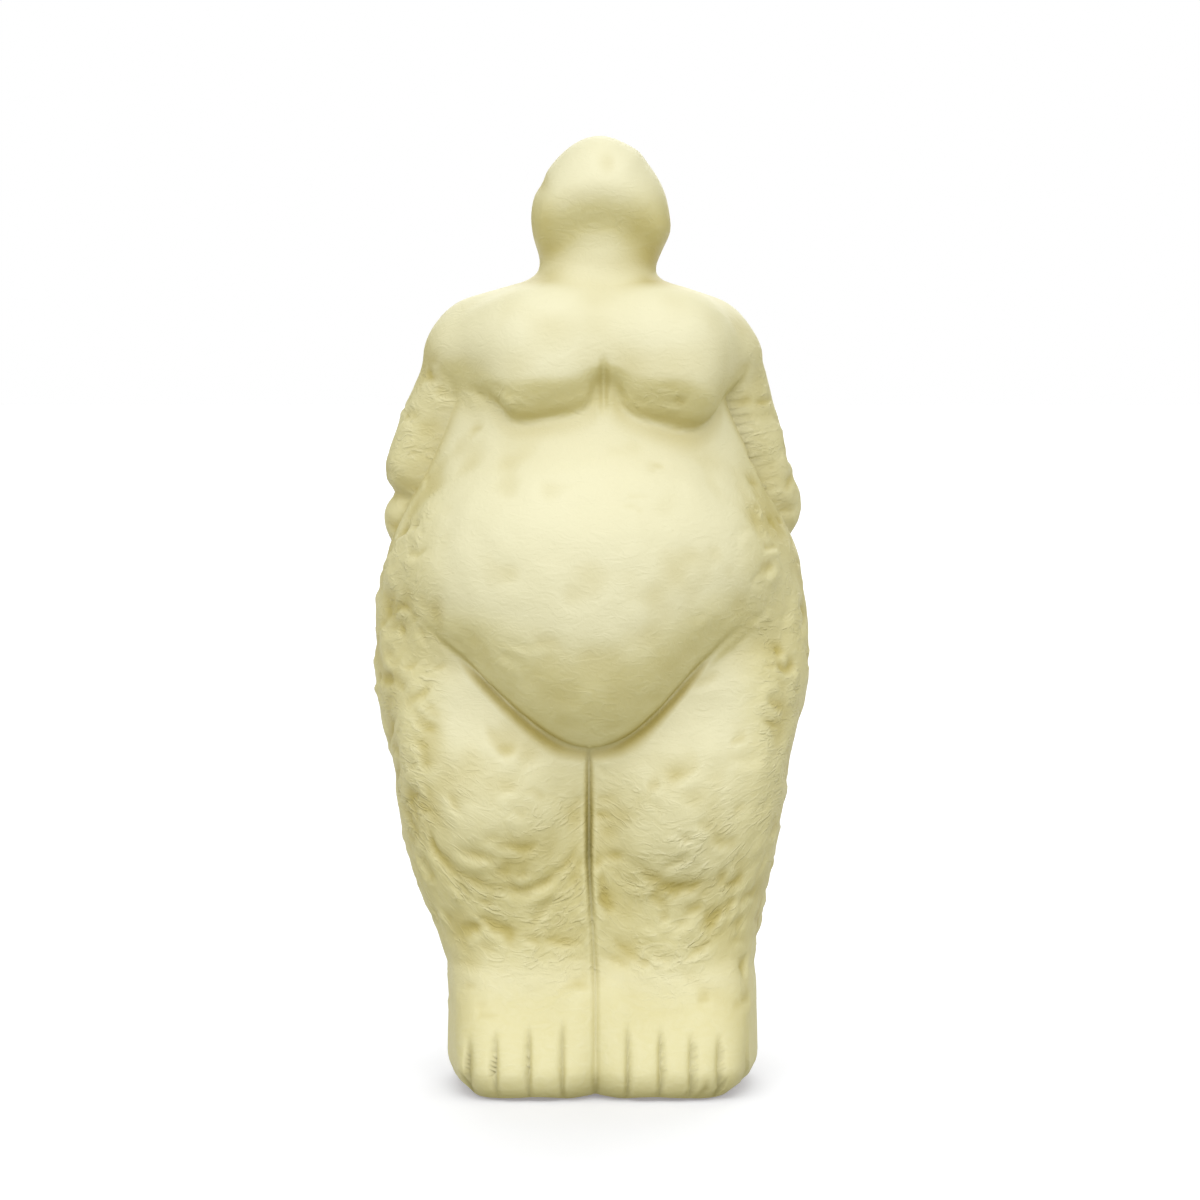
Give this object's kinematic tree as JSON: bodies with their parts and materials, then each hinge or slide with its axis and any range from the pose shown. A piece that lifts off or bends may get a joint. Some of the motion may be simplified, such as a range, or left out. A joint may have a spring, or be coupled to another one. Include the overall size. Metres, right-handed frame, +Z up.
{
  "type": "female figurine",
  "caption": "Standing full-bodied female figurine cast in one piece, with a blank upturned face and the arms held behind its back, for display on a shelf or table.",
  "frame": {"origin": "middle of the bounding box at its base, on the plane of the sole", "axes": "+Z up from the sole to the crown; the figure looks along -Y, and its own left-hand side is +X"},
  "size_m": [0.1202, 0.096, 0.26],
  "materials": {
    "cast_body": "pale yellow cast stone, hand-smeared, matt with a faint sheen"
  },
  "bodies": {
    "root": {"figurine": "cast_body"}
  },
  "joints": []
}
